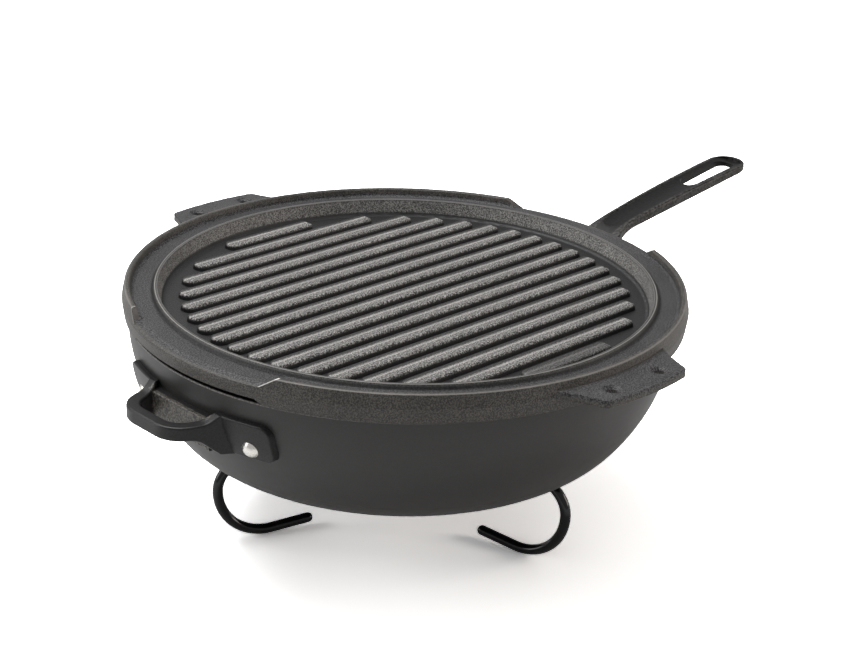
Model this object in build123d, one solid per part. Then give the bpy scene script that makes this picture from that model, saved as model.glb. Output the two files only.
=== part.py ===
from build123d import *
import math
import os

# A reversible griddle that lies as a lid on a deep pan, which stands on a stand of bent wire.
# Lengths are in millimetres and angles in degrees. +Z is up and +X runs along the long handle.
# The origin lies on the griddle's axis, level with the pan's flat base.

# Griddle plate: one casting, ribbed above and smooth below
griddle_radius = 159.5
griddle_thickness = 16.0
parting_drop = 7.5
top_draft = 1.5
bottom_draft = 1.1
rim_width = 3.0
rim_inner_draft = 1.1
rim_edge_radius = 0.9
gutter_depth = 4.8
gutter_width = 10.4
gutter_fillet = 1.6
bead_drop = 1.9
bead_width = 1.8
bead_outer_draft = 2.0
bead_edge_radius = 0.5
recess_depth = 11.7
recess_wall_run = 2.7
recess_fillet = 2.0
smooth_face_depth = 1.2
seat_width = 17.5

# Ribs, parallel to X, ending on one circle
rib_count = 17
rib_pitch = 15.36
rib_height = 3.2
rib_top_width = 9.4
rib_draft = 12.0
rib_end_gap = 10.0
rib_nose_radius = 4.6
rib_tail_radius = 2.6
rib_edge_radius = 1.4

# Gaps in the rim, two above for pouring and two below for steam
pour_gap_low_angle = 18.8
pour_gap_high_angle = 22.2
pour_lip_drop = 6.0
steam_gap_low_angle = 20.0
steam_gap_high_angle = 18.2
steam_gap_depth = 3.0
steam_gap_run = 9.0

# Lifting lugs
lug_length = 21.7
lug_tip_half_width = 31.0
lug_root_half_width = 45.0
lug_top_drop = 4.1
lug_thickness = 4.6
lug_corner_radius = 5.0
lug_side_hollow = 1.2
lug_edge_radius = 0.8
lug_hole_spacing = 36.5
lug_hole_distance = 10.5
lug_hole_radius = 3.0
lug_countersink_radius = 5.0
lug_countersink_depth = 1.6

# Pan bowl: a large side arc runs into a smaller knee arc and a flat base
pan_rim_inset = 5.0
pan_height = 78.0
pan_wall = 3.2
pan_side_radius = 94.4
pan_knee_radius = 48.6
pan_lip_radius = 0.8

# How far the griddle lies off the pan's axis, along the long handle
griddle_shift = 2.5

# Pads that seat both handles on the wall
pad_thickness = 3.6
pad_corner_radius = 6.0
pad_edge_radius = 0.8

# Rivets, with domed heads outside and inside
rivet_radius = 2.5
rivet_play = 0.05
rivet_head_radius = 5.2
rivet_head_height = 2.4
rivet_inner_head_height = 1.6
rivet_head_gap = 0.4

# Long handle
handle_length = 150.0
handle_tip_top = 105.3
handle_tip_thickness = 4.0
handle_neck_length = 35.0
handle_neck_top = 89.6
handle_neck_half_width = 10.3
handle_crown = 1.4
handle_throat_length = 38.0
handle_throat_bottom = 84.4
handle_tip_half_width = 13.2
handle_tip_corner = 12.4
handle_root_inset = 5.8
handle_root_half_width = 33.0
handle_root_top = 56.0
handle_root_bottom = 47.0
handle_edge_radius = 1.0
dish_start_length = 14.0
dish_round = 30.0
dish_lip = 2.4
dish_depth = 1.7
slot_end_wall = 8.4
slot_length = 45.5
slot_half_width = 6.7
slot_corner_radius = 5.4
long_pad_half_width = 44.0
long_pad_bottom = 44.0
long_pad_top = 72.0
long_rivet_offset = 35.0
long_rivet_height = 56.5

# Loop handle on the other side
loop_length = 25.6
loop_front_half_width = 22.5
loop_root_half_width = 29.0
loop_flare_half_width = 58.0
loop_flare_length = 4.0
loop_corner_radius = 17.5
loop_bar_width = 7.0
loop_top = 62.6
loop_bottom = 54.8
loop_slope_run = 11.5
loop_slope_radius = 12.0
loop_edge_radius = 1.2
loop_pad_half_width = 58.0
loop_pad_top = 66.2
loop_pad_bottom = 44.6
loop_web_bottom = 45.6
loop_rivet_offset = 44.3
loop_rivet_height = 51.4

# Wire stand
stand_height = 53.6
wire_radius = 3.0
stand_gap = 0.3
leg_inset = 41.0
ring_inset = 37.5
leg_upper_bend = 17.8
leg_first_azimuth = 40.7
leg_count = 3
leg_tail_rise = 5.0
leg_tail_length = 22.5

# Sizes that follow from the ones above
pan_rim_radius = griddle_radius - pan_rim_inset
handle_reach = pan_rim_radius + handle_length
handle_neck_reach = pan_rim_radius + handle_neck_length
handle_throat_reach = pan_rim_radius + handle_throat_length
handle_root_reach = pan_rim_radius - handle_root_inset
dish_start = pan_rim_radius + dish_start_length
loop_reach = pan_rim_radius + loop_length
loop_flare_reach = pan_rim_radius + loop_flare_length
leg_reach = pan_rim_radius - leg_inset
stand_ring_radius = leg_reach - ring_inset
griddle_base = pan_height
smooth_face = griddle_base + smooth_face_depth
griddle_top = griddle_base + griddle_thickness
rim_top_radius = griddle_radius - top_draft
rim_inner_radius = rim_top_radius - rim_width
gutter_outer_radius = rim_inner_radius - rim_inner_draft
gutter_inner_radius = gutter_outer_radius - gutter_width
bead_outer_radius = gutter_inner_radius - bead_outer_draft
bead_inner_radius = bead_outer_radius - bead_width
recess_radius = bead_inner_radius - recess_wall_run
rib_field_radius = recess_radius - rib_end_gap
smooth_face_radius = griddle_radius - seat_width
lug_reach = griddle_radius + lug_length
lug_hole_reach = griddle_radius + lug_hole_distance
recess_floor = griddle_top - recess_depth
gutter_floor = griddle_top - gutter_depth
parting_height = griddle_top - parting_drop
pour_lip = griddle_top - pour_lip_drop
margin = 10.0


def below_top(radius, drop):
    """Give a point of the griddle's section, measured down from the rim's top."""
    return (radius, griddle_top - drop)


def nearest(vertices, points):
    """Pick the vertices that lie closest to the given plane points."""
    chosen = []
    for x, y in points:
        chosen.append(vertices.sort_by_distance(Vertex(x, y, 0))[0])
    return chosen


def turned(face):
    """Revolve a section, drawn as radius and height, about the vertical axis."""
    return revolve(Plane.XZ * face, Axis.Z)


def polar(radius, azimuth):
    """Give the plan position of a point at a radius and an azimuth."""
    angle = math.radians(azimuth)
    return (radius * math.cos(angle), radius * math.sin(angle))


# Griddle plate
def griddle_section():
    """Draw half of the griddle's section with its rounded rim, gutter, bead and recess."""
    rim_outer = below_top(rim_top_radius, 0)
    rim_inner = below_top(rim_inner_radius, 0)
    gutter_outer = (gutter_outer_radius, gutter_floor)
    gutter_inner = (gutter_inner_radius, gutter_floor)
    bead_outer = below_top(bead_outer_radius, bead_drop)
    bead_inner = below_top(bead_inner_radius, bead_drop)
    recess_foot = (recess_radius, recess_floor)
    bottom_outer = (griddle_radius - bottom_draft, griddle_base)
    outline = Polyline(
        (0, smooth_face),
        (smooth_face_radius, smooth_face),
        (smooth_face_radius + smooth_face_depth, griddle_base),
        bottom_outer,
        (griddle_radius, parting_height),
        rim_outer,
        rim_inner,
        gutter_outer,
        gutter_inner,
        bead_outer,
        bead_inner,
        recess_foot,
        (0, recess_floor),
        close=True,
    )
    section = make_face(outline)
    section = fillet(nearest(section.vertices(), [rim_outer, rim_inner, bottom_outer]), rim_edge_radius)
    section = fillet(nearest(section.vertices(), [gutter_outer, gutter_inner]), gutter_fillet)
    section = fillet(nearest(section.vertices(), [bead_outer, bead_inner]), bead_edge_radius)
    return fillet(nearest(section.vertices(), [recess_foot]), recess_fillet)


def rib(offset):
    """Make one rib with drafted sides: a round nose at -X and a squarer tail at +X."""
    half_length = math.sqrt(rib_field_radius**2 - offset**2)
    half_width = rib_top_width / 2 + rib_height * math.tan(math.radians(rib_draft))
    plan = Pos(0, offset) * Rectangle(2 * half_length, 2 * half_width)
    plan = fillet(plan.vertices().group_by(Axis.X)[0], rib_nose_radius)
    plan = fillet(plan.vertices().group_by(Axis.X)[-1], rib_tail_radius)
    bar = extrude(Pos(0, 0, recess_floor) * plan, rib_height, taper=rib_draft)
    return fillet(bar.edges().group_by(Axis.Z)[-1], rib_edge_radius)


def rib_offsets():
    """List where the ribs' centre lines lie across the plate."""
    middle = (rib_count - 1) / 2
    offsets = []
    for index in range(rib_count):
        offset = (index - middle) * rib_pitch
        if abs(offset) < rib_field_radius - rib_nose_radius / 2:
            offsets.append(offset)
    return offsets


def gap_prism(low_angle, high_angle, low, high):
    """Make the block, wide along X, whose sloped sides bound a gap in the rim."""
    low_half = griddle_radius * math.sin(math.radians(low_angle))
    high_half = griddle_radius * math.sin(math.radians(high_angle))
    sides = Polyline((-low_half, low), (low_half, low), (high_half, high), (-high_half, high), close=True)
    return extrude(Plane.YZ * make_face(sides), griddle_radius + margin, both=True)


def pour_gaps():
    """Make the cutter of the two gaps above: the gutter's floor runs out and a little down."""
    beyond = griddle_radius + margin
    fall = (gutter_floor - pour_lip) / (griddle_radius - gutter_outer_radius)
    floor = Polyline(
        (gutter_inner_radius, gutter_floor),
        (gutter_outer_radius, gutter_floor),
        (beyond, gutter_floor - fall * (beyond - gutter_outer_radius)),
        (beyond, griddle_top + margin),
        (gutter_inner_radius, griddle_top + margin),
        close=True,
    )
    prism = gap_prism(pour_gap_low_angle, pour_gap_high_angle, pour_lip, griddle_top)
    return turned(make_face(floor)) & prism


def steam_gaps():
    """Make the cutter of the two gaps below, which lead from inside the pan to the outside."""
    inner = pan_rim_radius - steam_gap_run
    beyond = griddle_radius + margin
    roof = griddle_base + steam_gap_depth
    band = Polyline((inner, griddle_base), (beyond, griddle_base), (beyond, roof), (inner, roof), close=True)
    prism = gap_prism(steam_gap_low_angle, steam_gap_high_angle, griddle_base, roof)
    return turned(make_face(band)) & prism


def lug(side):
    """Make one lifting lug with its two countersunk holes, on the side given by the sign of Y."""
    root = rim_inner_radius * math.cos(math.asin(lug_root_half_width / griddle_radius))
    tip_y = math.sqrt(lug_reach**2 - lug_tip_half_width**2)
    root_left = (-lug_root_half_width, side * root)
    root_right = (lug_root_half_width, side * root)
    tip_left = (-lug_tip_half_width, side * tip_y)
    tip_right = (lug_tip_half_width, side * tip_y)
    outline = [
        SagittaArc(root_left, tip_left, side * -lug_side_hollow),
        ThreePointArc(tip_left, (0, side * lug_reach), tip_right),
        SagittaArc(tip_right, root_right, side * -lug_side_hollow),
        Line(root_right, root_left),
    ]
    plan = make_face(outline)
    plan = fillet(nearest(plan.vertices(), [tip_left, tip_right]), lug_corner_radius)
    lug_bottom = griddle_top - lug_top_drop - lug_thickness
    plate = extrude(Pos(0, 0, lug_bottom) * plan, lug_thickness)
    rims = plate.edges().group_by(Axis.Z)[-1] + plate.edges().group_by(Axis.Z)[0]
    plate = fillet(rims.filter_by(lambda edge: abs(edge.center().Y) > griddle_radius), lug_edge_radius)
    plate -= Cylinder((rim_inner_radius + rim_top_radius) / 2, 4 * griddle_top)
    for place in (-1, 1):
        spot = Pos(place * lug_hole_spacing / 2, side * lug_hole_reach, griddle_top - lug_top_drop)
        sink = Cone(
            lug_hole_radius,
            lug_countersink_radius,
            lug_countersink_depth,
            align=(Align.CENTER, Align.CENTER, Align.MAX),
        )
        plate -= spot * Cylinder(lug_hole_radius, 4 * lug_thickness)
        plate -= spot * sink
    return plate


def griddle_plate():
    """Make the whole casting."""
    plate = turned(griddle_section())
    plate -= pour_gaps()
    plate -= steam_gaps()
    plate += [lug(-1), lug(1)]
    plate += [rib(offset) for offset in rib_offsets()]
    return plate


# Pan bowl
def bowl_face(inset):
    """Draw half of the bowl's section, drawn in by the inset, filled up to the axis."""
    side_radius = pan_side_radius - inset
    knee_radius = pan_knee_radius - inset
    side_x = pan_rim_radius - pan_side_radius
    drop = pan_height - pan_knee_radius
    knee_x = side_x + math.sqrt((pan_side_radius - pan_knee_radius) ** 2 - drop**2)
    turn = math.degrees(math.atan2(drop, knee_x - side_x))
    side_arc = CenterArc((side_x, pan_height), side_radius, -turn, turn)
    knee_arc = CenterArc((knee_x, pan_knee_radius), knee_radius, -90, 90 - turn)
    outline = [
        Line((0, inset), (knee_x, inset)),
        knee_arc,
        side_arc,
        Line((pan_rim_radius - inset, pan_height), (0, pan_height)),
        Line((0, pan_height), (0, inset)),
    ]
    return make_face(outline)


def wall_plane(azimuth, height):
    """Give the plane that touches the bowl's outside at a height, with its normal pointing out."""
    tilt = math.asin((pan_height - height) / pan_side_radius)
    radius = pan_rim_radius - pan_side_radius * (1 - math.cos(tilt))
    across = polar(1, azimuth)
    normal = (across[0] * math.cos(tilt), across[1] * math.cos(tilt), -math.sin(tilt))
    return Plane(origin=(*polar(radius, azimuth), height), x_dir=(-across[1], across[0], 0), z_dir=normal)


def rivet_places(offset, height, base_azimuth):
    """List the planes of a pair of rivets, given their distance from the handle's middle plane."""
    foot = wall_plane(base_azimuth, height).origin
    swing = math.degrees(math.asin(offset / math.hypot(foot.X, foot.Y)))
    return [wall_plane(base_azimuth - swing, height), wall_plane(base_azimuth + swing, height)]


def long_rivet_places():
    """List the planes of the long handle's rivets."""
    return rivet_places(long_rivet_offset, long_rivet_height, 0)


def loop_rivet_places():
    """List the planes of the loop handle's rivets."""
    return rivet_places(loop_rivet_offset, loop_rivet_height, 180)


def rivet_holes(places):
    """Make the drills that pass through the pads and the wall."""
    length = 2 * (pan_wall + pad_thickness + rivet_head_height)
    return [place * Cylinder(rivet_radius + rivet_play, length) for place in places]


def rivet_seats(places):
    """Make the cutters that keep a handle clear of the rivets' heads, down to the pad's face."""
    radius = rivet_head_radius + rivet_head_gap
    depth = 4 * rivet_head_height
    seat = Pos(0, 0, pad_thickness) * Cylinder(radius, depth, align=(Align.CENTER, Align.CENTER, Align.MIN))
    return [place * seat for place in places]


def pan_bowl():
    """Make the bowl, rounded at its lip and drilled for the rivets."""
    section = bowl_face(0) - bowl_face(pan_wall)
    lips = [(pan_rim_radius, pan_height), (pan_rim_radius - pan_wall, pan_height)]
    section = fillet(nearest(section.vertices(), lips), pan_lip_radius)
    bowl = turned(section)
    for hole in rivet_holes(long_rivet_places() + loop_rivet_places()):
        bowl -= hole
    return bowl


# Handles
def pad(half_width, bottom, top, side):
    """Make a pad that fits the bowl's wall, on the side given by the sign of X."""
    skin = turned(bowl_face(-pad_thickness)) - turned(bowl_face(0))
    shape = RectangleRounded(2 * half_width, top - bottom, pad_corner_radius)
    block = extrude(Plane.YZ * Pos(0, (top + bottom) / 2) * shape, side * (griddle_radius + margin))
    piece = skin & block
    faces = piece.faces().sort_by(lambda face: face.center().X * side)
    return fillet(faces[-1].edges(), pad_edge_radius)


def dome(radius, height):
    """Make a domed rivet head that stands on the XY plane."""
    sphere_radius = (radius**2 + height**2) / (2 * height)
    ball = Pos(0, 0, height - sphere_radius) * Sphere(sphere_radius)
    return ball & Cylinder(radius, height, align=(Align.CENTER, Align.CENTER, Align.MIN))


def rivets(place):
    """Make a rivet at the given plane and its mirror image, both heads seated on the curved faces."""
    outside = turned(bowl_face(-pad_thickness))
    inside = turned(bowl_face(pan_wall))
    # Each head starts a little inside its seat, and what it would share with the seat is cut away.
    bite = rivet_inner_head_height / 2
    grip = pan_wall + pad_thickness
    shank = Pos(0, 0, (pad_thickness - pan_wall) / 2) * Cylinder(rivet_radius, grip + bite)
    outer = Pos(0, 0, pad_thickness - bite) * dome(rivet_head_radius, rivet_head_height + bite)
    inner = Rot(180, 0, 0) * dome(rivet_head_radius, rivet_inner_head_height + bite)
    inner = Pos(0, 0, bite - pan_wall) * inner
    body = place * shank + (place * outer - outside) + (place * inner & inside)
    return body + mirror(body, about=Plane.XZ)


def handle_top(drop):
    """Draw the grip's gently crowned top line, lowered by the drop, from the tip to the neck."""
    tip = (handle_reach, handle_tip_top - drop)
    neck = (handle_neck_reach, handle_neck_top - drop)
    return SagittaArc(tip, neck, -handle_crown)


def long_handle_side():
    """Draw the long handle from the side: a slim grip and two arcs down to the wall."""
    tip_bottom = (handle_reach, handle_tip_top - handle_tip_thickness)
    throat = (handle_throat_reach, handle_throat_bottom)
    root_top = (handle_root_reach, handle_root_top)
    root_bottom = (handle_root_reach, handle_root_bottom)
    top_line = handle_top(0)
    bottom_line = Line(tip_bottom, throat)
    outline = [
        top_line,
        TangentArc([top_line @ 1, root_top], tangent=top_line % 1),
        Line(root_top, root_bottom),
        TangentArc([throat, root_bottom], tangent=bottom_line % 1),
        bottom_line,
        Line(tip_bottom, top_line @ 0),
    ]
    return Plane.XZ * make_face(outline)


def long_handle_plan(inset, reach, corner):
    """Draw the long handle from above, drawn in by the inset, up to a reach with rounded corners."""
    share = (reach - handle_neck_reach) / (handle_reach - handle_neck_reach)
    end_width = handle_neck_half_width + share * (handle_tip_half_width - handle_neck_half_width) - inset
    neck_width = handle_neck_half_width - inset
    root_width = handle_root_half_width - inset
    edges = [
        Line((handle_root_reach, -root_width), (handle_root_reach, root_width)),
        Line((reach, -end_width), (reach, end_width)),
    ]
    for side in (-1, 1):
        grip = Line((reach, side * end_width), (handle_neck_reach, side * neck_width))
        root = (handle_root_reach, side * root_width)
        edges.append(grip)
        edges.append(TangentArc([grip @ 1, root], tangent=grip % 1))
    plan = make_face(edges)
    return fillet(plan.vertices().group_by(Axis.X)[-1], corner)


def handle_dish():
    """Make the cutter of the hollow along the top of the grip, which runs out at the neck."""
    top_line = handle_top(0)
    inner = top_line @ 1 + (top_line % 1) * (handle_neck_reach - dish_start)
    path = Plane.XZ * Wire([top_line, Line(top_line @ 1, inner)])
    centre = path @ 0 + Vector(0, 0, dish_round - dish_depth)
    section = Plane(origin=centre, x_dir=(0, 1, 0), z_dir=path % 0) * Circle(dish_round)
    plan = long_handle_plan(dish_lip, handle_reach - dish_lip, handle_tip_corner - dish_lip)
    return extrude(plan, 2 * griddle_top) & sweep(section, path)


def long_edges(piece, reach):
    """Pick the edges beyond a distance from the axis that don't stand upright."""
    level = piece.edges().filter_by(Axis.Z, reverse=True)
    return level.filter_by(lambda edge: abs(edge.center().X) > reach)


def long_handle():
    """Make the long handle with its pad, dish and hanging slot."""
    side = extrude(long_handle_side(), 2 * handle_root_half_width, both=True)
    plan = extrude(long_handle_plan(0, handle_reach, handle_tip_corner), 2 * griddle_top)
    bar = side & plan
    bar = fillet(long_edges(bar, pan_rim_radius), handle_edge_radius)
    bar -= handle_dish()
    slot_centre = handle_reach - slot_end_wall - slot_length / 2
    slot = Pos(slot_centre, 0) * RectangleRounded(slot_length, 2 * slot_half_width, slot_corner_radius)
    bar -= extrude(slot, 2 * griddle_top)
    bar -= turned(bowl_face(0))
    handle = bar + pad(long_pad_half_width, long_pad_bottom, long_pad_top, 1)
    for hole in rivet_holes(long_rivet_places()):
        handle -= hole
    return handle


def loop_plan(inset):
    """Draw the loop from above, drawn in by the inset: a rounded front and sides that flare at the wall."""
    front = loop_reach - inset
    inside = pan_rim_radius - 2 * margin
    edges = []
    for side in (-1, 1):
        corner = (-front, side * (loop_front_half_width - inset))
        bend = (-loop_flare_reach, side * (loop_root_half_width - inset))
        root = (-inside, side * (loop_flare_half_width - inset))
        edges.append(Line(corner, bend))
        edges.append(TangentArc([bend, root], tangent=edges[-1] % 1))
    edges.append(Line((-front, inset - loop_front_half_width), (-front, loop_front_half_width - inset)))
    edges.append(Line((-inside, inset - loop_flare_half_width), (-inside, loop_flare_half_width - inset)))
    plan = make_face(edges)
    return fillet(plan.vertices().group_by(Axis.X)[0], loop_corner_radius - inset)


def loop_side():
    """Draw the loop from the side: a level bar that deepens towards the wall."""
    inside = pan_rim_radius - 2 * margin
    wall = pan_rim_radius
    outline = Polyline(
        (-loop_reach, loop_bottom),
        (-wall - loop_slope_run, loop_bottom),
        (-wall, loop_pad_bottom),
        (-inside, loop_pad_bottom),
        (-inside, loop_pad_top),
        (-wall, loop_pad_top),
        (-wall - loop_slope_run / 2, loop_top),
        (-loop_reach, loop_top),
        close=True,
    )
    shape = make_face(outline)
    bends = [(-wall - loop_slope_run, loop_bottom), (-wall - loop_slope_run / 2, loop_top)]
    shape = fillet(nearest(shape.vertices(), bends), loop_slope_radius)
    return Plane.XZ * shape


def loop_web():
    """Make the upright wall between the loop's arms, which fills the space that the bowl's curve leaves."""
    reach = pan_rim_radius + pad_thickness
    half_width = loop_root_half_width - loop_bar_width / 2
    plan = Pos(-reach, 0) * Rectangle(2 * margin, 2 * half_width, align=(Align.MIN, Align.CENTER))
    block = extrude(Pos(0, 0, loop_web_bottom) * plan, loop_top - loop_web_bottom)
    block = fillet(block.edges().group_by(Axis.X)[0].filter_by(Axis.Y), pad_edge_radius)
    return block - turned(bowl_face(0))


def helper_handle():
    """Make the loop handle with its pad."""
    tall = extrude(loop_plan(0), 2 * griddle_top)
    body = extrude(loop_side(), 2 * loop_flare_half_width, both=True) & tall
    body -= extrude(loop_plan(loop_bar_width), 2 * griddle_top)
    body = fillet(long_edges(body, pan_rim_radius + pad_thickness), loop_edge_radius)
    body -= turned(bowl_face(0))
    for seat in rivet_seats(loop_rivet_places()):
        body -= seat
    relief = Box(2 * griddle_radius, 2 * loop_root_half_width, 2 * (loop_pad_top - loop_top))
    strip = pad(loop_pad_half_width, loop_pad_bottom, loop_pad_top, -1) - Pos(0, 0, loop_pad_top) * relief
    handle = body + strip + loop_web()
    for hole in rivet_holes(loop_rivet_places()):
        handle -= hole
    return handle


# Wire stand
def wire_level():
    """Give the height of the ring's centre line, just under the pan's base."""
    return -stand_gap - wire_radius


def stand_ring():
    """Make the ring that carries the pan."""
    return Pos(0, 0, wire_level()) * Torus(stand_ring_radius, wire_radius)


def stand_leg(azimuth):
    """Make one leg: out from the ring, down through two bends and back in along the ground."""
    level = wire_level()
    lower_bend = stand_height - wire_radius + level - leg_upper_bend
    bend_z = level - leg_upper_bend
    upper = CenterArc((leg_reach - leg_upper_bend, bend_z), leg_upper_bend, 90, -90)
    lower = CenterArc((leg_reach - lower_bend, bend_z), lower_bend, 0, -90 - leg_tail_rise)
    end = lower @ 1 + (lower % 1) * leg_tail_length
    path = Plane.XZ * Wire([Line((stand_ring_radius, level), upper @ 0), upper, lower, Line(lower @ 1, end)])
    section = Plane(origin=path @ 0, z_dir=path % 0) * Circle(wire_radius)
    leg = sweep(section, path)
    leg += Pos(*(path @ 1)) * Sphere(wire_radius)
    leg -= stand_ring()
    return Rot(0, 0, azimuth) * leg


def build():
    """Make every piece and name it, the pan's pieces moved off the griddle's axis."""
    pan_axis = Pos(-griddle_shift, 0, 0)
    pieces = {
        "griddle_plate": griddle_plate(),
        "pan_bowl": pan_axis * pan_bowl(),
        "long_handle": pan_axis * long_handle(),
        "long_handle_rivets": pan_axis * rivets(long_rivet_places()[0]),
        "helper_handle": pan_axis * helper_handle(),
        "helper_handle_rivets": pan_axis * rivets(loop_rivet_places()[0]),
        "stand_ring": stand_ring(),
    }
    for index in range(leg_count):
        azimuth = leg_first_azimuth + index * 360 / leg_count
        pieces[f"stand_leg_{index + 1}"] = stand_leg(azimuth)
    return pieces


os.makedirs("parts", exist_ok=True)
for name, piece in build().items():
    export_step(piece, f"parts/{name}.step")
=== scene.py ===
"""Looks, light and camera for the reversible griddle on its deep pan and wire stand.

The solids come packed from the CAD, in metres, with the pan's flat base at height 0, +Z up and
+X along the long handle. This script gives each of them its finish and sets up a plain studio
that is seen from the photograph's side.
"""

import logging
from dataclasses import dataclass
from enum import Enum
from functools import cached_property
from typing import Any

import bmesh
import bpy
from mathutils import Matrix, Vector

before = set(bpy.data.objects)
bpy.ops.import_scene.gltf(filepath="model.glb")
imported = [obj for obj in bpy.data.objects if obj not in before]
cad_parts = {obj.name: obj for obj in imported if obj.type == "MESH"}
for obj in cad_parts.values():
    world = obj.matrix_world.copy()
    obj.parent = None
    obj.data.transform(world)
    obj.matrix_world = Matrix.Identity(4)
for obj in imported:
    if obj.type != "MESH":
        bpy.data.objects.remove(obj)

LOG = logging.getLogger("griddle")
MM = 0.001

# Where the pan's axis stands along the handles, as the griddle's axis is at 0.
PAN_AXIS_MM = -2.5

Socket = bpy.types.NodeSocket
Value = float | Socket
Pair = tuple[float, float]
Triple = tuple[float, float, float]

# The values before and after an edge where a zone ends.
FALL: Pair = (1.0, 0.0)

# The levels between which nearly all of a noise lies.
NOISE_SWING: Pair = (0.3, 0.7)


class Level(float, Enum):
    """Heights of the CAD's main faces over the pan's base, in millimetres."""

    GROUND = -53.6
    LIP_TOP = 78.0
    RIB_TOP = 85.5
    GAP_FLOOR = 88.0
    GUTTER_FLOOR = 89.2
    BEAD_TOP = 92.1
    RIM_TOP = 94.0


def linear(code: str) -> tuple[float, float, float, float]:
    """Turn a colour that is written for the screen into the one that the shader takes.

    Args:
        code: An sRGB colour as "#rrggbb".

    Returns:
        The linear red, green and blue, with an alpha of one.
    """
    parts = [int(code[place : place + 2], 16) / 255 for place in (1, 3, 5)]
    light = [part / 12.92 if part <= 0.04045 else ((part + 0.055) / 1.055) ** 2.4 for part in parts]
    return (light[0], light[1], light[2], 1.0)


class Measure(Enum):
    """What an edge is measured along, by the name of the graph's value for it."""

    ALONG = "along"
    SIDE = "side"
    SPREAD = "spread"
    HEIGHT = "height"
    RADIUS = "radius"
    PAN_RADIUS = "pan_radius"


class Graph:
    """A shader's node tree, with the steps that the finishes share."""

    def __init__(self, tree: bpy.types.NodeTree) -> None:
        """Take over a node tree and empty it.

        Args:
            tree: The tree of a material or a world.
        """
        tree.nodes.clear()
        self.tree = tree

    def add(
        self,
        kind: str,
        settings: dict[str, Any] | None = None,
        inputs: dict[str | int, Any] | None = None,
    ) -> bpy.types.Node:
        """Add a shader node with its settings and inputs.

        Args:
            kind: The node's type, as Blender names it.
            settings: Attributes of the node itself.
            inputs: What goes into its sockets, by name or number: another node's socket, an
                sRGB colour as "#rrggbb", or any other value.

        Returns:
            The new node.
        """
        node = self.tree.nodes.new(kind)
        for name, value in (settings or {}).items():
            setattr(node, name, value)
        for name, value in (inputs or {}).items():
            if isinstance(value, Socket):
                self.tree.links.new(value, node.inputs[name])
            else:
                node.inputs[name].default_value = linear(value) if isinstance(value, str) else value
        return node

    @cached_property
    def place(self) -> Socket:
        """The shaded point in the CAD's coordinates, in metres."""
        return self.add("ShaderNodeTexCoord").outputs["Object"]

    @cached_property
    def axes(self) -> bpy.types.Node:
        """The node that splits the shaded point into its three coordinates."""
        return self.add("ShaderNodeSeparateXYZ", inputs={0: self.place})

    @property
    def along(self) -> Socket:
        """The distance along the long handle, in metres."""
        return self.axes.outputs["X"]

    @property
    def side(self) -> Socket:
        """The distance from the plane through both handles, below zero on the near side."""
        return self.axes.outputs["Y"]

    @property
    def height(self) -> Socket:
        """The height over the pan's base, in metres."""
        return self.axes.outputs["Z"]

    @cached_property
    def spread(self) -> Socket:
        """The distance from the plane through both handles, the same on either side."""
        return self.add("ShaderNodeMath", {"operation": "ABSOLUTE"}, {0: self.side}).outputs[0]

    @cached_property
    def radius(self) -> Socket:
        """The distance from the griddle's axis, in metres."""
        return self.distance(0.0)

    @cached_property
    def pan_radius(self) -> Socket:
        """The distance from the pan's axis, in metres."""
        return self.distance(PAN_AXIS_MM)

    def distance(self, axis_mm: float) -> Socket:
        """Measure how far a point lies from an upright axis in the plane through both handles.

        Args:
            axis_mm: Where the axis stands, along the handles.

        Returns:
            The distance in metres.
        """
        flat = self.add(
            "ShaderNodeVectorMath",
            {"operation": "MULTIPLY_ADD"},
            {0: self.place, 1: (1.0, 1.0, 0.0), 2: (-axis_mm * MM, 0.0, 0.0)},
        )
        length = self.add("ShaderNodeVectorMath", {"operation": "LENGTH"}, {0: flat.outputs[0]})
        return length.outputs["Value"]

    def step(
        self, length: Socket, edge_mm: float, offsets_mm: Pair, values: Pair = (0.0, 1.0)
    ) -> Socket:
        """Change softly from one value to another where a length passes an edge.

        Args:
            length: The length, in metres.
            edge_mm: Where the edge lies.
            offsets_mm: Where the change starts and ends, from the edge.
            values: The values before and after it.

        Returns:
            The changing value.
        """
        node = self.add(
            "ShaderNodeMapRange",
            {"interpolation_type": "SMOOTHSTEP"},
            {
                "Value": length,
                "From Min": (edge_mm + offsets_mm[0]) * MM,
                "From Max": (edge_mm + offsets_mm[1]) * MM,
                "To Min": values[0],
                "To Max": values[1],
            },
        )
        return node.outputs[0]

    def follow(
        self, source: Socket, span: Pair, values: tuple[Value, Value] = (0.0, 1.0)
    ) -> Socket:
        """Let a value follow another one evenly, between two levels of it.

        Args:
            source: The value to follow.
            span: The levels of the source between which the result changes.
            values: What the result is at those levels and beyond them.

        Returns:
            The following value.
        """
        node = self.add(
            "ShaderNodeMapRange",
            inputs={
                "Value": source,
                "From Min": span[0],
                "From Max": span[1],
                "To Min": values[0],
                "To Max": values[1],
            },
        )
        return node.outputs[0]

    def join(self, rule: str, *parts: Value) -> Value:
        """Put several values together by one rule, kept between 0 and 1.

        Args:
            rule: The rule as the math node names it, such as MULTIPLY or MAXIMUM.
            parts: The values, in order.

        Returns:
            The joined value.
        """
        total = parts[0]
        settings = {"operation": rule, "use_clamp": True}
        for part in parts[1:]:
            total = self.add("ShaderNodeMath", settings, {0: total, 1: part}).outputs[0]
        return total

    def blend(self, share: Value, low: str | Socket, high: str | Socket) -> Socket:
        """Mix two colours, each given as an sRGB code or as a socket.

        Args:
            share: How much of the second colour shows.
            low: The first colour.
            high: The second colour.

        Returns:
            The mixed colour.
        """
        mix = self.add("ShaderNodeMix", {"data_type": "RGBA"}, {0: share, 6: low, 7: high})
        return mix.outputs[2]


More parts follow.
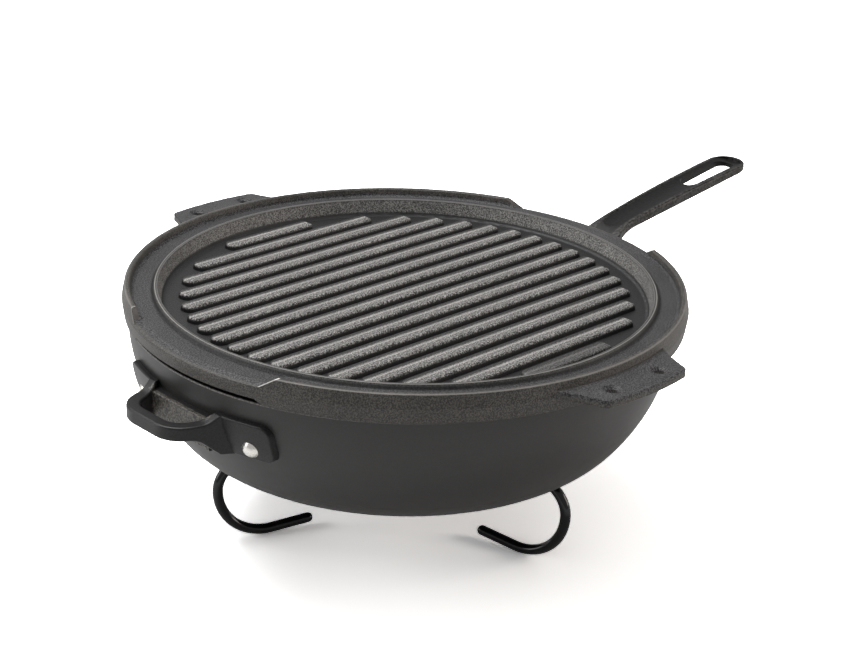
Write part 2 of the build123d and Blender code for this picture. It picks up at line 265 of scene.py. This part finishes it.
@dataclass(frozen=True)
class Pattern:
    """Soft random spots of a real size.

    Attributes:
        size_mm: How far apart the spots lie.
        detail: How many finer layers are added.
        coarseness: How strong those layers are.
    """

    size_mm: float
    detail: float
    coarseness: float = 0.5

    def level(self, graph: Graph) -> Socket:
        """Make the pattern.

        Args:
            graph: The node tree to work in.

        Returns:
            Its level, around a half.
        """
        inputs = {
            "Vector": graph.place,
            "Scale": 1 / (self.size_mm * MM),
            "Detail": self.detail,
            "Roughness": self.coarseness,
        }
        return graph.add("ShaderNodeTexNoise", inputs=inputs).outputs["Fac"]


@dataclass(frozen=True)
class Edge:
    """A soft edge of a zone.

    Attributes:
        measure: What it is measured along.
        place_mm: Where it lies.
        offsets_mm: Where its softness starts and ends, from there.
        values: How much of the zone shows before and after it.
    """

    measure: Measure
    place_mm: float
    offsets_mm: Pair
    values: Pair = (0.0, 1.0)

    def share(self, graph: Graph) -> Socket:
        """Mark one side of the edge.

        Args:
            graph: The node tree to work in.

        Returns:
            How much of the zone shows.
        """
        length = getattr(graph, self.measure.value)
        return graph.step(length, self.place_mm, self.offsets_mm, self.values)


@dataclass(frozen=True)
class Slant:
    """A soft edge on both sides of the handles' plane, which spreads evenly along its way.

    Attributes:
        measure: What its way is measured along.
        start_mm: Where it starts: the distance along its way, and its spread there.
        end_mm: Where it ends, in the same manner.
        offsets_mm: Where its softness starts and ends, across it.
        values: How much of the zone shows within it and beyond it.
    """

    measure: Measure
    start_mm: Pair
    end_mm: Pair
    offsets_mm: Pair
    values: Pair = (0.0, 1.0)

    def share(self, graph: Graph) -> Socket:
        """Mark one side of the edge.

        Args:
            graph: The node tree to work in.

        Returns:
            How much of the zone shows.
        """
        grade = (self.end_mm[1] - self.start_mm[1]) / (self.end_mm[0] - self.start_mm[0])
        way = getattr(graph, self.measure.value)
        past = graph.add(
            "ShaderNodeMath", {"operation": "MULTIPLY_ADD"}, {0: way, 1: -grade, 2: graph.spread}
        )
        edge_mm = self.start_mm[1] - grade * self.start_mm[0]
        return graph.step(past.outputs[0], edge_mm, self.offsets_mm, self.values)


@dataclass(frozen=True)
class Zone:
    """A part of a surface that looks unlike the rest.

    Attributes:
        name: What it is, shown as the label of its node.
        skin: Its sRGB colour, or that of its valleys.
        fleck: The sRGB colour of its grains, if they show.
        edges: The edges that bound it.
        strength: How much of it shows in its middle.
        sheen: Its specular level, if that differs.
    """

    name: str
    skin: str
    fleck: str = ""
    edges: tuple[Edge | Slant, ...] = ()
    strength: float = 1.0
    sheen: float | None = None

    def share(self, graph: Graph) -> Value:
        """Mark the zone.

        Args:
            graph: The node tree to work in.

        Returns:
            The zone's strength inside it and zero outside it.
        """
        parts: list[Value] = [edge.share(graph) for edge in self.edges]
        if self.strength < 1.0:
            parts.append(self.strength)
        return graph.join("MULTIPLY", *parts)

    def paint(
        self, graph: Graph, flecks: Socket, tone: Socket, sheen: Value
    ) -> tuple[Socket, Value]:
        """Paint the zone over a surface.

        Args:
            graph: The node tree to work in.
            flecks: Where the grains show.
            tone: The surface's colour so far.
            sheen: Its specular level so far.

        Returns:
            The new colour and specular level.
        """
        share = self.share(graph)
        own = graph.blend(flecks, self.skin, self.fleck) if self.fleck else self.skin
        painted = graph.blend(share, tone, own)
        painted.node.label = self.name
        if self.sheen is not None:
            sheen = graph.follow(share, (0.0, 1.0), (sheen, self.sheen))
        return painted, sheen


@dataclass(frozen=True)
class Relief:
    """The fine relief of a surface.

    Attributes:
        depth_mm: How deep it is.
        strength: How much of it shows.
    """

    depth_mm: float
    strength: float


@dataclass(frozen=True, kw_only=True)
class Finish:
    """What a surface is made of and how it was made; each kind works out its own look."""

    name: str
    relief: Relief

    def look(self, graph: Graph) -> tuple[dict[str, Any], Socket]:
        """Work out how the surface takes the light.

        Args:
            graph: The node tree to work in.

        Returns:
            The surface shader's inputs, by name, and the level of its relief.
        """
        raise NotImplementedError

    def material(self) -> bpy.types.Material:
        """Build the finish's node material.

        Returns:
            The new material.
        """
        material = bpy.data.materials.new(self.name)
        material.use_nodes = True
        graph = Graph(material.node_tree)
        inputs, level = self.look(graph)
        bump = graph.add(
            "ShaderNodeBump",
            inputs={
                "Strength": self.relief.strength,
                "Distance": self.relief.depth_mm * MM,
                "Height": level,
            },
        )
        inputs["Normal"] = bump.outputs[0]
        surface = graph.add("ShaderNodeBsdfPrincipled", inputs=inputs)
        graph.add("ShaderNodeOutputMaterial", inputs={0: surface.outputs[0]})
        return material


@dataclass(frozen=True, kw_only=True)
class SandCastIron(Finish):
    """Seasoned grey cast iron with the skin of a green-sand mould.

    The mould's grains leave a pebbled skin, so the metal looks dark grey, and each small facet
    that faces a lamp gives a pale fleck. A painted highlight lightens each rib along its crest,
    and painted shade darkens each rib's far side. The zones tell where the plate looks otherwise.
    """

    name: str = "seasoned sand-cast iron"
    relief: Relief = Relief(depth_mm=0.22, strength=0.9)
    zones: tuple[Zone, ...]
    rib_pitch_mm: float = 15.36
    skin: str = "#1e1d1d"
    fleck: str = "#a8a5a2"
    # Painted shade on each rib's far side, where the groove beside it lies in shadow.
    far_shade_skin: str = "#090909"
    far_shade_fleck: str = "#403e3c"
    far_side_mm: Pair = (0.9, 2.5)
    # Painted highlight along each rib's crest.
    crest_highlight: str = "#c9c6c2"
    crest_near_mm: Pair = (-0.9, 0.3)
    crest_far_mm: Pair = (0.3, 1.5)
    crest_highlight_share: float = 0.3
    shaded_rib_mm: float = -113.0
    shaded_soft_mm: Pair = (-1.0, 1.0)
    shaded_share: float = 0.7
    # Grains about twice as wide as real moulding sand, because real ones are under a pixel.
    grain: Pattern = Pattern(size_mm=0.9, detail=3.0, coarseness=0.6)
    fine_grain: Pattern = Pattern(size_mm=0.75, detail=3.0, coarseness=0.6)
    cloud: Pattern = Pattern(size_mm=26.0, detail=3.0, coarseness=0.6)
    grain_levels: Pair = (0.44, 0.68)
    fine_levels: Pair = (0.42, 0.6)
    fine_relief: float = 0.4
    cloud_light: Pair = (0.86, 1.12)
    roughness: Pair = (0.44, 0.62)
    sheen: float = 0.45
    ior: float = 1.5

    def across(self, graph: Graph) -> Socket:
        """Measure across a rib.

        Args:
            graph: The node tree to work in.

        Returns:
            The distance from the nearest rib's centre line, in metres, below zero on its near
            side.
        """
        pitch = self.rib_pitch_mm * MM
        shift = {"operation": "MULTIPLY_ADD"}
        turns = graph.add("ShaderNodeMath", shift, {0: graph.side, 1: 1 / pitch, 2: 0.5})
        part = graph.add("ShaderNodeMath", {"operation": "FRACT"}, {0: turns.outputs[0]})
        inputs = {0: part.outputs[0], 1: pitch, 2: -pitch / 2}
        return graph.add("ShaderNodeMath", shift, inputs).outputs[0]

    def rib_tone(self, graph: Graph, spots: Socket) -> Socket:
        """Colour the ribs: a painted highlight on each crest, painted shade on each far side,
        and painted shade on the rib nearest the camera, where the recess wall shades it.

        Args:
            graph: The node tree to work in.
            spots: Where the grains show.

        Returns:
            The ribs' colour.
        """
        across = self.across(graph)
        far = graph.blend(spots, self.far_shade_skin, self.far_shade_fleck)
        tone = graph.blend(spots, self.skin, self.fleck)
        # Painted highlight along each rib's crest.
        crest_highlight = graph.join(
            "MULTIPLY",
            graph.step(across, 0.0, self.crest_near_mm),
            graph.step(across, 0.0, self.crest_far_mm, FALL),
            self.crest_highlight_share,
        )
        tone = graph.blend(crest_highlight, tone, self.crest_highlight)
        # Painted shade over each rib's far side.
        tone = graph.blend(graph.step(across, 0.0, self.far_side_mm), tone, far)
        last = graph.step(graph.side, self.shaded_rib_mm, self.shaded_soft_mm, FALL)
        return graph.blend(graph.join("MULTIPLY", last, self.shaded_share), tone, far)

    def look(self, graph: Graph) -> tuple[dict[str, Any], Socket]:
        """Work out how the iron takes the light.

        Args:
            graph: The node tree to work in.

        Returns:
            The surface shader's inputs, by name, and the level of its relief.
        """
        patterns = (self.grain, self.fine_grain, self.cloud)
        grain, fine, cloud = (pattern.level(graph) for pattern in patterns)
        specks = graph.follow(fine, self.fine_levels)
        tone = self.rib_tone(graph, graph.follow(grain, self.grain_levels))
        sheen: Value = self.sheen
        for zone in self.zones:
            tone, sheen = zone.paint(graph, specks, tone, sheen)
        shaded = graph.add(
            "ShaderNodeVectorMath",
            {"operation": "SCALE"},
            {0: tone, "Scale": graph.follow(cloud, NOISE_SWING, self.cloud_light)},
        )
        level = graph.add(
            "ShaderNodeMath",
            {"operation": "MULTIPLY_ADD"},
            {0: fine, 1: self.fine_relief, 2: grain},
        )
        inputs = {
            "Base Color": shaded.outputs[0],
            "Specular IOR Level": sheen,
            "Roughness": graph.follow(fine, NOISE_SWING, self.roughness),
            "IOR": self.ior,
        }
        return inputs, level.outputs[0]


@dataclass(frozen=True, kw_only=True)
class BakedCoating(Finish):
    """A satin black coating, sprayed and baked on iron.

    It gives an even charcoal with a soft sheen, a faint orange peel, and the fine grain of the
    casting. The zones tell where the piece looks otherwise.
    """

    relief: Relief = Relief(depth_mm=0.015, strength=0.7)
    colour: str
    edge_colour: str
    zones: tuple[Zone, ...]
    roughness: float = 0.46
    roughness_swing: Pair = (-0.05, 0.06)
    sheen: float = 0.3
    ior: float = 1.5
    peel: Pattern = Pattern(size_mm=0.9, detail=2.5, coarseness=0.55)
    peel_levels: Pair = (0.4, 0.6)
    peel_light: float = 0.1
    fleck_levels: Pair = (0.4, 0.62)
    cloud: Pattern = Pattern(size_mm=45.0, detail=5.0, coarseness=0.6)
    cloud_levels: Pair = (0.3, 0.75)

    def look(self, graph: Graph) -> tuple[dict[str, Any], Socket]:
        """Work out how the coating takes the light.

        Args:
            graph: The node tree to work in.

        Returns:
            The surface shader's inputs, by name, and the level of its relief.
        """
        peel = self.peel.level(graph)
        cloud = self.cloud.level(graph)
        lights = (1.0 - self.peel_light, 1.0 + self.peel_light)
        base = graph.blend(graph.follow(cloud, self.cloud_levels), self.colour, self.edge_colour)
        tone = graph.add(
            "ShaderNodeVectorMath",
            {"operation": "SCALE"},
            {0: base, "Scale": graph.follow(peel, self.peel_levels, lights)},
        ).outputs[0]
        spots = graph.follow(peel, self.fleck_levels)
        sheen: Value = self.sheen
        for zone in self.zones:
            tone, sheen = zone.paint(graph, spots, tone, sheen)
        smooth, dull = (self.roughness + swing for swing in self.roughness_swing)
        inputs = {
            "Base Color": tone,
            "Specular IOR Level": sheen,
            "Roughness": graph.follow(cloud, NOISE_SWING, (smooth, dull)),
            "IOR": self.ior,
        }
        return inputs, peel


@dataclass(frozen=True, kw_only=True)
class RivetSteel(Finish):
    """Stainless steel rivets, set cold: a bright head with faint marks of the setting tool."""

    name: str = "cold-set stainless rivet"
    relief: Relief = Relief(depth_mm=0.05, strength=0.6)
    colour: str = "#d9d6d1"
    dents: Pattern = Pattern(size_mm=1.6, detail=3.0)
    roughness: Pair = (0.24, 0.4)

    def look(self, graph: Graph) -> tuple[dict[str, Any], Socket]:
        """Work out how the steel takes the light.

        Args:
            graph: The node tree to work in.

        Returns:
            The surface shader's inputs, by name, and the level of its relief.
        """
        dents = self.dents.level(graph)
        inputs = {
            "Base Color": self.colour,
            "Metallic": 1.0,
            "Roughness": graph.follow(dents, NOISE_SWING, self.roughness),
        }
        return inputs, dents


@dataclass(frozen=True, kw_only=True)
class WireEnamel(Finish):
    """Gloss black enamel on drawn steel wire: nearly black, with sharp pale lines of light."""

    name: str = "gloss black wire enamel"
    relief: Relief = Relief(depth_mm=0.03, strength=0.5)
    colour: str = "#050506"
    thin_colour: str = "#0c0c0d"
    runs: Pattern = Pattern(size_mm=7.0, detail=2.0)
    run_levels: Pair = (0.35, 0.7)
    roughness: float = 0.12
    sheen: float = 0.35
    ior: float = 1.5

    def look(self, graph: Graph) -> tuple[dict[str, Any], Socket]:
        """Work out how the enamel takes the light.

        Args:
            graph: The node tree to work in.

        Returns:
            The surface shader's inputs, by name, and the level of its relief.
        """
        runs = self.runs.level(graph)
        thin = graph.follow(runs, self.run_levels)
        inputs = {
            "Base Color": graph.blend(thin, self.colour, self.thin_colour),
            "Specular IOR Level": self.sheen,
            "Roughness": self.roughness,
            "IOR": self.ior,
        }
        return inputs, runs


def dress(node: str, material: bpy.types.Material) -> None:
    """Give a CAD node's surface a finish.

    Args:
        node: The CAD node's name.
        material: The finish to show on it.
    """
    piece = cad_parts[node]
    for slot in piece.material_slots:
        slot.material = material
    LOG.info("dressed %s with %s", node, material.name)


@dataclass(frozen=True)
class PlateSizes:
    """Sizes of the plate's forms that its finish follows, in millimetres about its axis."""

    recess_radius: float = 136.9
    bead_inner: float = 139.85
    bead_outer: float = 141.2
    gutter_radius: float = 142.3
    rim_inner: float = 155.2
    rim_outer: float = 157.6
    lug_radius: float = 160.1
    gap_foot: Pair = (Level.GAP_FLOOR, 51.40)
    gap_top: Pair = (Level.RIM_TOP, 60.27)
    line_half: float = 0.42


@dataclass
class Griddle:
    """The reversible plate, one casting whose ribbed face is up."""

    node: str = "griddle_plate"
    sizes: PlateSizes = PlateSizes()

    def line(self, radius_mm: float) -> tuple[Edge, ...]:
        """Bound a thin ring, such as a painted highlight along a rounded edge.

        Args:
            radius_mm: The ring's radius.

        Returns:
            Its inner and its outer edge.
        """
        half = self.sizes.line_half
        return (
            Edge(Measure.RADIUS, radius_mm, (-half, 0.0)),
            Edge(Measure.RADIUS, radius_mm, (0.0, half), FALL),
        )

    def skins(self) -> tuple[Zone, ...]:
        """List the larger parts that look unlike the ribs, in the order they are painted.

        Returns:
            The zones.
        """
        size = self.sizes
        level = (
            Edge(Measure.HEIGHT, Level.GUTTER_FLOOR, (-1.3, -0.9)),
            Edge(Measure.HEIGHT, Level.GUTTER_FLOOR, (1.6, 2.6), FALL),
        )
        gutter = (
            Edge(Measure.RADIUS, size.gutter_radius, (-0.2, 0.2)),
            Edge(Measure.RADIUS, size.rim_outer, (-0.4, 0.0), FALL),
        )
        lug = (Edge(Measure.RADIUS, size.lug_radius, (-0.2, 0.2)),)
        smooth = ("#0b0b0c", "#515051")
        return (
            Zone(
                "recess wall and bead",
                "#2b2a2a",
                "#83817e",
                (Edge(Measure.RADIUS, size.recess_radius, (-0.3, 0.3)),),
            ),
            # Painted shade in the grooves between the ribs, over the darker seasoning that lies
            # there.
            Zone(
                "seasoning and painted shade between the ribs",
                "#070707",
                edges=(Edge(Measure.HEIGHT, Level.RIB_TOP, (-1.9, -0.3), FALL),),
            ),
            Zone(
                "rim and side",
                "#161514",
                "#4b4742",
                (Edge(Measure.RADIUS, size.gutter_radius, (-0.5, 0.0)),),
            ),
            Zone("smoothed gutter", *smooth, (*gutter, *level), sheen=0.25),
            Zone("smoothed lugs", *smooth, (*lug, *level), sheen=0.25),
        )

    def marks(self) -> tuple[Zone, ...]:
        """List the casting's marks, painted highlights and painted shade, in the order they are
        painted.

        Returns:
            The zones.
        """
        size = self.sizes
        bead_top = Edge(Measure.HEIGHT, Level.BEAD_TOP, (-0.6, -0.2))
        # Painted highlights: thin pale lines along the rounded edges of the bead and the rim.
        edge_highlight = "#7d7a77"
        return (
            Zone(
                "slopes that end the pouring gaps",
                "#3f3b38",
                edges=(
                    Edge(Measure.RADIUS, size.rim_inner, (-0.3, 0.2)),
                    Edge(Measure.RADIUS, size.rim_outer, (0.0, 0.4), FALL),
                    Edge(Measure.HEIGHT, Level.GUTTER_FLOOR, (0.1, 0.6)),
                    Edge(Measure.HEIGHT, Level.RIM_TOP, (-0.7, -0.3), FALL),
                ),
            ),
            # Painted shade over the bead's sides and along the inner edge of the gutter.
            Zone(
                "painted shade on the bead's sides and the gutter's inner edge",
                "#121211",
                edges=(
                    Edge(Measure.RADIUS, size.bead_inner, (-0.6, -0.1)),
                    Edge(Measure.RADIUS, size.bead_outer, (1.4, 3.6), FALL),
                    Edge(Measure.HEIGHT, Level.GUTTER_FLOOR, (-0.6, -0.1)),
                ),
                strength=0.75,
            ),
            Zone(
                "painted highlight on the bead's inner edge",
                edge_highlight,
                edges=(*self.line(size.bead_inner), bead_top),
                strength=0.4,
            ),
            Zone(
                "painted highlight on the bead's outer edge",
                edge_highlight,
                edges=(*self.line(size.bead_outer), bead_top),
            ),
            Zone(
                "painted highlight on the rim's outer edge",
                edge_highlight,
                edges=(
                    Edge(Measure.HEIGHT, Level.RIM_TOP, (-0.6, -0.1)),
                    Edge(Measure.RADIUS, size.rim_outer, (-1.2, 0.0)),
                ),
                strength=0.45,
            ),
            # Painted highlight along the slopes' edges, stronger on the near side.
            Zone(
                "painted highlight along the slopes' edges, fainter on the far side",
                "#d8d5d1",
                edges=(
                    Edge(Measure.SIDE, 0.0, (-30.0, 0.0), (1.0, 0.3)),
                    Slant(Measure.HEIGHT, size.gap_foot, size.gap_top, (0.0, 0.15)),
                    Slant(Measure.HEIGHT, size.gap_foot, size.gap_top, (0.6, 1.1), FALL),
                    Edge(Measure.RADIUS, size.rim_inner, (0.0, 0.4)),
                    Edge(Measure.HEIGHT, Level.GAP_FLOOR, (0.2, 0.6)),
                ),
            ),
        )

    def build(self) -> None:
        """Dress the casting."""
        finish = SandCastIron(zones=(*self.skins(), *self.marks()))
        dress(self.node, finish.material())


@dataclass(frozen=True)
class PanSizes:
    """Sizes of the pan and its handles that their finishes follow, in millimetres."""

    rim_radius: float = 154.5
    web_front: float = -161.6
    web_back: float = -158.0
    web_half: float = 25.4
    dish_start: float = 163.0
    dish_neck: Pair = (187.0, 7.6)
    dish_tip: Pair = (302.0, 10.5)


@dataclass
class Pan:
    """The deep pan with its long handle, its loop handle and their rivets."""

    bowl: str = "pan_bowl"
    handle: str = "long_handle"
    loop: str = "helper_handle"
    rivets: tuple[str, ...] = ("long_handle_rivets", "helper_handle_rivets")
    sizes: PanSizes = PanSizes()

    def bowl_finish(self) -> BakedCoating:
        """Describe the bowl's coating.

        Returns:
            The finish.
        """
        # Painted highlight along the rounded outer edge of the lip, just below the lid.
        lip_highlight = Zone(
            "painted highlight on the lip's rounded edge",
            "#4a4846",
            "#7c7976",
            (Edge(Measure.HEIGHT, Level.LIP_TOP, (-1.1, -0.5)),),
        )
        # Painted shadow: the lip's level top, black where the lid overhangs it.
        lip_shadow = Zone(
            "painted shadow on the lip's level top under the lid",
            "#010101",
            "#020202",
            (
                Edge(Measure.PAN_RADIUS, self.sizes.rim_radius, (-0.7, -0.4), FALL),
                Edge(Measure.HEIGHT, Level.LIP_TOP, (-1.4, -0.8)),
            ),
        )
        return BakedCoating(
            name="satin black pan coating",
            colour="#1d1c1b",
            edge_colour="#242221",
            zones=(lip_highlight, lip_shadow),
            sheen=0.45,
        )

    def handle_finish(self) -> BakedCoating:
        """Describe the long handle's coating.

        Returns:
            The finish.
        """
        size = self.sizes
        # Painted shade in the grip's hollow, which is darker than the rims around it.
        hollow = Zone(
            "painted shade in the hollow along the grip, darker than its rims",
            "#040404",
            "#11100f",
            (
                Slant(Measure.ALONG, size.dish_neck, size.dish_tip, (-0.8, 0.4), FALL),
                Edge(Measure.ALONG, size.dish_start, (0.0, 8.0)),
                Edge(Measure.ALONG, size.dish_tip[0], (-4.0, -2.4), FALL),
            ),
        )
        return BakedCoating(
            name="satin black handle coating",
            relief=Relief(depth_mm=0.16, strength=0.7),
            colour="#242322",
            edge_colour="#353331",
            zones=(hollow,),
            roughness=0.42,
            sheen=0.2,
            peel=Pattern(size_mm=1.7, detail=2.5, coarseness=0.55),
            peel_light=0.75,
        )

    def loop_finish(self) -> BakedCoating:
        """Describe the loop handle's coating.

        Returns:
            The finish.
        """
        size = self.sizes
        web = Zone(
            "rough cast face between the arms, which the coating covers thinly",
            "#1c1b1a",
            "#625e58",
            (
                Edge(Measure.ALONG, size.web_front, (0.0, 0.6)),
                Edge(Measure.ALONG, size.web_back, (-0.6, 0.0), FALL),
                Edge(Measure.SPREAD, size.web_half, (-0.6, 0.0), FALL),
            ),
        )
        return BakedCoating(
            name="satin black loop coating",
            relief=Relief(depth_mm=0.06, strength=0.7),
            colour="#191818",
            edge_colour="#222121",
            zones=(web,),
            roughness=0.4,
            sheen=0.27,
            peel_light=0.3,
        )

    def build(self) -> None:
        """Dress the bowl, the handles and the rivets."""
        dress(self.bowl, self.bowl_finish().material())
        dress(self.handle, self.handle_finish().material())
        dress(self.loop, self.loop_finish().material())
        steel = RivetSteel().material()
        for node in self.rivets:
            dress(node, steel)


@dataclass
class Stand:
    """The stand of bent wire: a ring and three curled feet."""

    nodes: tuple[str, ...] = ("stand_ring", "stand_leg_1", "stand_leg_2", "stand_leg_3")
    finish: WireEnamel = WireEnamel()

    def build(self) -> None:
        """Dress the ring and the feet."""
        enamel = self.finish.material()
        for node in self.nodes:
            dress(node, enamel)


@dataclass
class Lamp:
    """One soft box: where it hangs, what it looks at, its sides in metres and its power."""

    name: str
    place: Triple
    target: Triple
    size: Pair
    watts: float
    colour: str = "#ffffff"

    def build(self) -> None:
        """Hang the soft box."""
        data = bpy.data.lights.new(self.name, "AREA")
        data.shape = "RECTANGLE"
        data.size, data.size_y = self.size
        data.energy = self.watts
        data.color = linear(self.colour)[:3]
        lamp = bpy.data.objects.new(self.name, data)
        bpy.context.collection.objects.link(lamp)
        lamp.location = self.place
        aim = Vector(self.target) - Vector(self.place)
        lamp.rotation_euler = aim.to_track_quat("-Z", "Y").to_euler()
        LOG.info("hung %s", self.name)


@dataclass
class Studio:
    """The white table, the soft light and the camera."""

    floor_half: float = 6.0
    floor_white: float = 0.72
    floor_seen_white: float = 2.32
    floor_glow: float = 0.02
    lens: float = 77.15
    sensor: float = 36.0
    clip: Pair = (0.05, 50.0)
    camera_place: Triple = (-0.67713, -0.70674, 0.47598)
    camera_right: Triple = (0.7200, -0.6932, 0.0325)
    camera_forward: Triple = (0.6486, 0.6554, -0.3872)
    world_strength: float = 0.5
    lamps: tuple[Lamp, ...] = (
        Lamp("overhead soft box", (-0.2, 0.5, 1.4), (0.0, 0.0, 0.08), (1.1, 1.1), 28.0),
        Lamp("left soft box", (-1.3, 1.1, 0.55), (0.0, 0.0, 0.05), (0.9, 0.9), 9.0),
        Lamp("right soft box", (1.3, -1.2, 0.45), (0.0, 0.0, 0.05), (0.8, 0.8), 12.0, "#fff5ec"),
    )

    def floor(self) -> None:
        """Make the white table, which shows the object's shadow."""
        shape = bmesh.new()
        bmesh.ops.create_grid(shape, x_segments=2, y_segments=2, size=self.floor_half)
        bmesh.ops.translate(shape, verts=shape.verts, vec=(0.0, 0.0, Level.GROUND * MM))
        mesh = bpy.data.meshes.new("studio floor")
        shape.to_mesh(mesh)
        shape.free()
        table = bpy.data.objects.new("studio_floor", mesh)
        bpy.context.collection.objects.link(table)
        mesh.materials.append(self.floor_finish())

    def floor_finish(self) -> bpy.types.Material:
        """Make the table's matt white, seen brighter than it is so that only a deep shadow shows.

        Returns:
            The floor's material.
        """
        material = bpy.data.materials.new("matt white table")
        material.use_nodes = True
        graph = Graph(material.node_tree)
        rays = graph.add("ShaderNodeLightPath").outputs
        whites = (self.floor_white, self.floor_seen_white)
        tint = graph.follow(rays["Is Camera Ray"], (0.0, 1.0), whites)
        paint = graph.add("ShaderNodeBsdfDiffuse", inputs={"Color": tint})
        seen = graph.join("MAXIMUM", rays["Is Camera Ray"], rays["Is Glossy Ray"])
        strength = graph.join("MULTIPLY", seen, self.floor_glow)
        glow = graph.add("ShaderNodeEmission", inputs={"Color": "#ffffff", "Strength": strength})
        both = graph.add("ShaderNodeAddShader", inputs={0: paint.outputs[0], 1: glow.outputs[0]})
        graph.add("ShaderNodeOutputMaterial", inputs={0: both.outputs[0]})
        return material

    def world(self) -> None:
        """Light the scene from all round, with a pure white background."""
        world = bpy.data.worlds.new("white studio")
        bpy.context.scene.world = world
        world.use_nodes = True
        graph = Graph(world.node_tree)
        rays = graph.add("ShaderNodeLightPath").outputs
        seen = graph.join("MAXIMUM", rays["Is Camera Ray"], rays["Is Transmission Ray"])
        strength = graph.follow(seen, (0.0, 1.0), (self.world_strength, 1.0))
        sky = graph.add("ShaderNodeBackground", inputs={"Color": "#ffffff", "Strength": strength})
        graph.add("ShaderNodeOutputWorld", inputs={0: sky.outputs[0]})

    def camera(self) -> None:
        """Set the camera where the photograph was taken from."""
        data = bpy.data.cameras.new("studio camera")
        data.lens = self.lens
        data.sensor_width = self.sensor
        data.clip_start, data.clip_end = self.clip
        camera = bpy.data.objects.new("studio camera", data)
        bpy.context.collection.objects.link(camera)
        forward = Vector(self.camera_forward).normalized()
        right = Vector(self.camera_right)
        right = (right - forward * right.dot(forward)).normalized()
        up = right.cross(forward)
        turn = Matrix((right, up, -forward)).transposed().to_4x4()
        camera.matrix_world = Matrix.Translation(Vector(self.camera_place)) @ turn
        bpy.context.scene.camera = camera

    def build(self) -> None:
        """Set up the floor, the light and the camera."""
        self.floor()
        self.world()
        for lamp in self.lamps:
            lamp.build()
        self.camera()
        bpy.context.scene.view_settings.view_transform = "Standard"


def main() -> None:
    """Build every part of the scene in order."""
    logging.basicConfig(level=logging.INFO, format="%(name)s: %(message)s")
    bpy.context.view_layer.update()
    Griddle().build()
    Pan().build()
    Stand().build()
    Studio().build()


if __name__ == "__main__":
    main()
